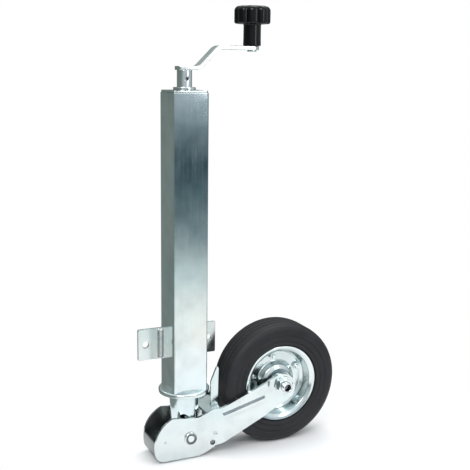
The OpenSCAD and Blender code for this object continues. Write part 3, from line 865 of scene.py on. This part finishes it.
def spindle():
    """The screw: a round-crested thread of 6 mm pitch below the journal."""
    low, high = box("spindle")
    pitch, crest, depth, steps = 6, 9, 0.9, 40
    shoulder = box("spindle_collar")[1].z
    thread_top = box("spindle_collar")[0].z - 4
    bm = bmesh.new()
    rows = int((thread_top - low.z) / pitch * 8)
    rings = [[about_z((0, 0, 0), 0.6, low.z, math.tau * i / steps) for i in range(steps)]]
    rings.append([about_z((0, 0, 0), crest - 2, low.z, math.tau * i / steps) for i in range(steps)])
    for k in range(rows + 1):
        z = low.z + 1 + (thread_top - low.z - 1) * k / rows
        ring = []
        for i in range(steps):
            wave = math.cos(math.tau * (z / pitch - i / steps))
            valley = 0.5 - 0.5 * max(min(1.8 * wave, 1), -1)
            ring.append(about_z((0, 0, 0), crest - depth * valley, z, math.tau * i / steps))
        rings.append(ring)
    journal = [(9, thread_top + 0.5), (9, shoulder), (8, shoulder)]
    journal += [(8, high.z - 1), (7.2, high.z), (0.6, high.z)]
    for r, z in journal:
        rings.append([about_z((0, 0, 0), r, z, math.tau * i / steps) for i in range(steps)])
    skin(bm, rings, wrap=True)
    piece("spindle_threaded", bm, "spindle", DARK, sharp=50)


fork_arm("fork_arm_front", -1)
fork_arm("fork_arm_rear", 1)
tyre()
rim_half("rim_front", -1)
rim_half("rim_rear", 1)
rim_bolts()
nuts("rim_nuts", rim_bolt_centres(), 7.5, -2.5, -9, 4, [0.35 * i for i in range(RIM_BOLTS)])
nuts("axle_nut", [AXLE], 17, -43.5, -52.5, 10, [0.28])
axle_bolt()
pivot_pin()
crank_arm()
knob()
plate_welds()
collar()
spindle()

# Softened CAD parts in their own finish; the nose web is given the darker zinc as painted shade.
for part_name, width in (
    ("outer_tube", 0.5), ("top_cap", 1.0), ("mounting_plate", 0.8), ("crank_boss", 0.7), ("drive_pin", 0.3),
    ("knob_stud", 0.8), ("knob_cap", 0.6), ("inner_tube", 0.6), ("nose_web", 0.9), ("top_web", 0.8),
    ("fold_lug", 1.2), ("pivot_clip", 0.4), ("axle_washers", 0.5), ("axle_spacers", 0.5),
    ("hub_tube", 0.6), ("hub_bushes", 0.6),
):
    softened(part_name, ZINC_PAINTED_SHADE if part_name == "nose_web" else FINISH_OF[SLOT_OF[part_name]], width)


# ---- Floor, light and camera ----

def floor():
    """A plain pale disc under the wheel."""
    bm = bmesh.new()
    bmesh.ops.create_circle(bm, cap_ends=True, radius=0.5, segments=96)
    mesh = bpy.data.meshes.new("floor")
    bm.to_mesh(mesh)
    bm.free()
    disc = bpy.data.objects.new("floor", mesh)
    scene.collection.objects.link(disc)
    disc.location = (PIVOT.x + 0.2, PIVOT.y - 0.15, cad_low.z - 0.0005)
    n = Nodes("pale floor")
    mottle = n.noise(6, 3)
    pale = n.ramp(mottle, [(0.3, (0.86, 0.86, 0.865)), (0.7, (0.9, 0.9, 0.9))])
    n.link(pale, n.shader.inputs["Base Color"])
    n.shader.inputs["Roughness"].default_value = 0.6
    mesh.materials.append(n.material)


def surroundings():
    """A plain studio: white below and above, with a dim teal band between for the plating to mirror."""
    world = bpy.data.worlds.new("studio")
    scene.world = world
    world.use_nodes = True
    tree = world.node_tree
    tree.nodes.clear()

    lowest = -0.5

    def add(kind, **settings):
        return new_node(tree, kind, **settings)

    def rise(degrees):
        """Place on the ramps of a direction this far above the horizon."""
        return (math.sin(math.radians(degrees)) - lowest) / (1 - lowest)

    direction = add("ShaderNodeTexCoord").outputs["Generated"]
    parts = add("ShaderNodeSeparateXYZ")
    tree.links.new(direction, parts.inputs["Vector"])
    height = add("ShaderNodeMapRange")
    height.inputs["From Min"].default_value = lowest
    height.inputs["From Max"].default_value = 1
    tree.links.new(parts.outputs["Z"], height.inputs["Value"])
    front = colour_ramp(tree, height.outputs["Result"], [
        (rise(-26), (0.72, 0.78, 0.76)), (rise(-20.5), (0.82, 0.87, 0.85)), (rise(-17), (1.05, 1.04, 1.0)),
        (rise(-14), (0.66, 0.72, 0.72)),
        (rise(-11.5), (0.17, 0.23, 0.25)), (rise(-6.5), (0.02, 0.045, 0.06)),
        (rise(-3.6), (0.2, 0.26, 0.29)),
        (rise(-1.4), (0.5, 0.55, 0.6)), (rise(14), (0.62, 0.66, 0.7)), (rise(50), (0.85, 0.87, 0.9)),
    ])
    behind = colour_ramp(tree, height.outputs["Result"], [
        (rise(-28), (0.4, 0.45, 0.45)), (rise(-21), (0.18, 0.21, 0.2)), (rise(12), (0.165, 0.2, 0.19)),
        (rise(30), (0.45, 0.5, 0.5)), (rise(55), (0.9, 0.9, 0.92)),
    ])
    facing = add("ShaderNodeVectorMath", operation="DOT_PRODUCT")
    facing.inputs[1].default_value = (0.42, -0.91, 0)
    tree.links.new(direction, facing.inputs[0])
    side = add("ShaderNodeMapRange", interpolation_type="SMOOTHSTEP")
    side.inputs["From Min"].default_value = -0.2
    side.inputs["From Max"].default_value = 0.8
    tree.links.new(facing.outputs["Value"], side.inputs["Value"])
    mix = add("ShaderNodeMix", data_type="RGBA")
    tree.links.new(side.outputs["Result"], mix.inputs["Factor"])
    tree.links.new(behind, mix.inputs[6])
    tree.links.new(front, mix.inputs[7])
    room = add("ShaderNodeBackground")
    room.inputs["Strength"].default_value = 1.2
    tree.links.new(mix.outputs[2], room.inputs["Color"])
    paper = add("ShaderNodeBackground")
    paper.inputs["Color"].default_value = (1, 1, 1, 1)
    choose = add("ShaderNodeMixShader")
    tree.links.new(add("ShaderNodeLightPath").outputs["Is Camera Ray"], choose.inputs["Fac"])
    tree.links.new(room.outputs["Background"], choose.inputs[1])
    tree.links.new(paper.outputs["Background"], choose.inputs[2])
    tree.links.new(choose.outputs["Shader"], add("ShaderNodeOutputWorld").inputs["Surface"])


def softbox(name, offset, size, power, aim_height=0.35):
    """An area light at an offset in metres from the pivot, aimed at the leg."""
    data = bpy.data.lights.new(name, "AREA")
    data.shape = "DISK"
    data.size = size
    data.energy = power
    lamp = bpy.data.objects.new(name, data)
    scene.collection.objects.link(lamp)
    lamp.location = PIVOT + Vector(offset)
    target = PIVOT + Vector((0.05, 0, aim_height))
    lamp.rotation_mode = "QUATERNION"
    lamp.rotation_quaternion = (target - lamp.location).to_track_quat("-Z", "Y")


def strip_light():
    """A tall narrow light to the right in front, level with the knob, for the highlight on its stem."""
    softbox("strip", (0.62, -1.12, 1.12), 0.26, 3.6, 1.12)
    data = bpy.data.lights["strip"]
    data.shape = "RECTANGLE"
    data.size_y = 1.0


def camera():
    """The photograph's view: from the left, level with the crank, looking down a little, slightly rolled."""
    data = bpy.data.cameras.new("camera")
    data.sensor_width = 36
    data.lens = 66.05
    data.clip_end = 20
    eye = bpy.data.objects.new("camera", data)
    scene.collection.objects.link(eye)
    scene.camera = eye
    eye.location = PIVOT + Vector((-0.575, -1.4678, 0.7051))
    heading, dip, roll = (math.radians(angle) for angle in (24.83, 11.28, 0.76))
    eye.rotation_mode = "QUATERNION"
    turn = Quaternion((0, 0, 1), -heading) @ Quaternion((1, 0, 0), math.pi / 2 - dip)
    eye.rotation_quaternion = turn @ Quaternion((0, 0, 1), roll)


floor()
surroundings()
softbox("key", (-1.3, -1.5, 1.9), 1.2, 26)
softbox("top", (0.5, 0.4, 2.2), 1.5, 18)
strip_light()
camera()
scene.view_settings.view_transform = "Standard"
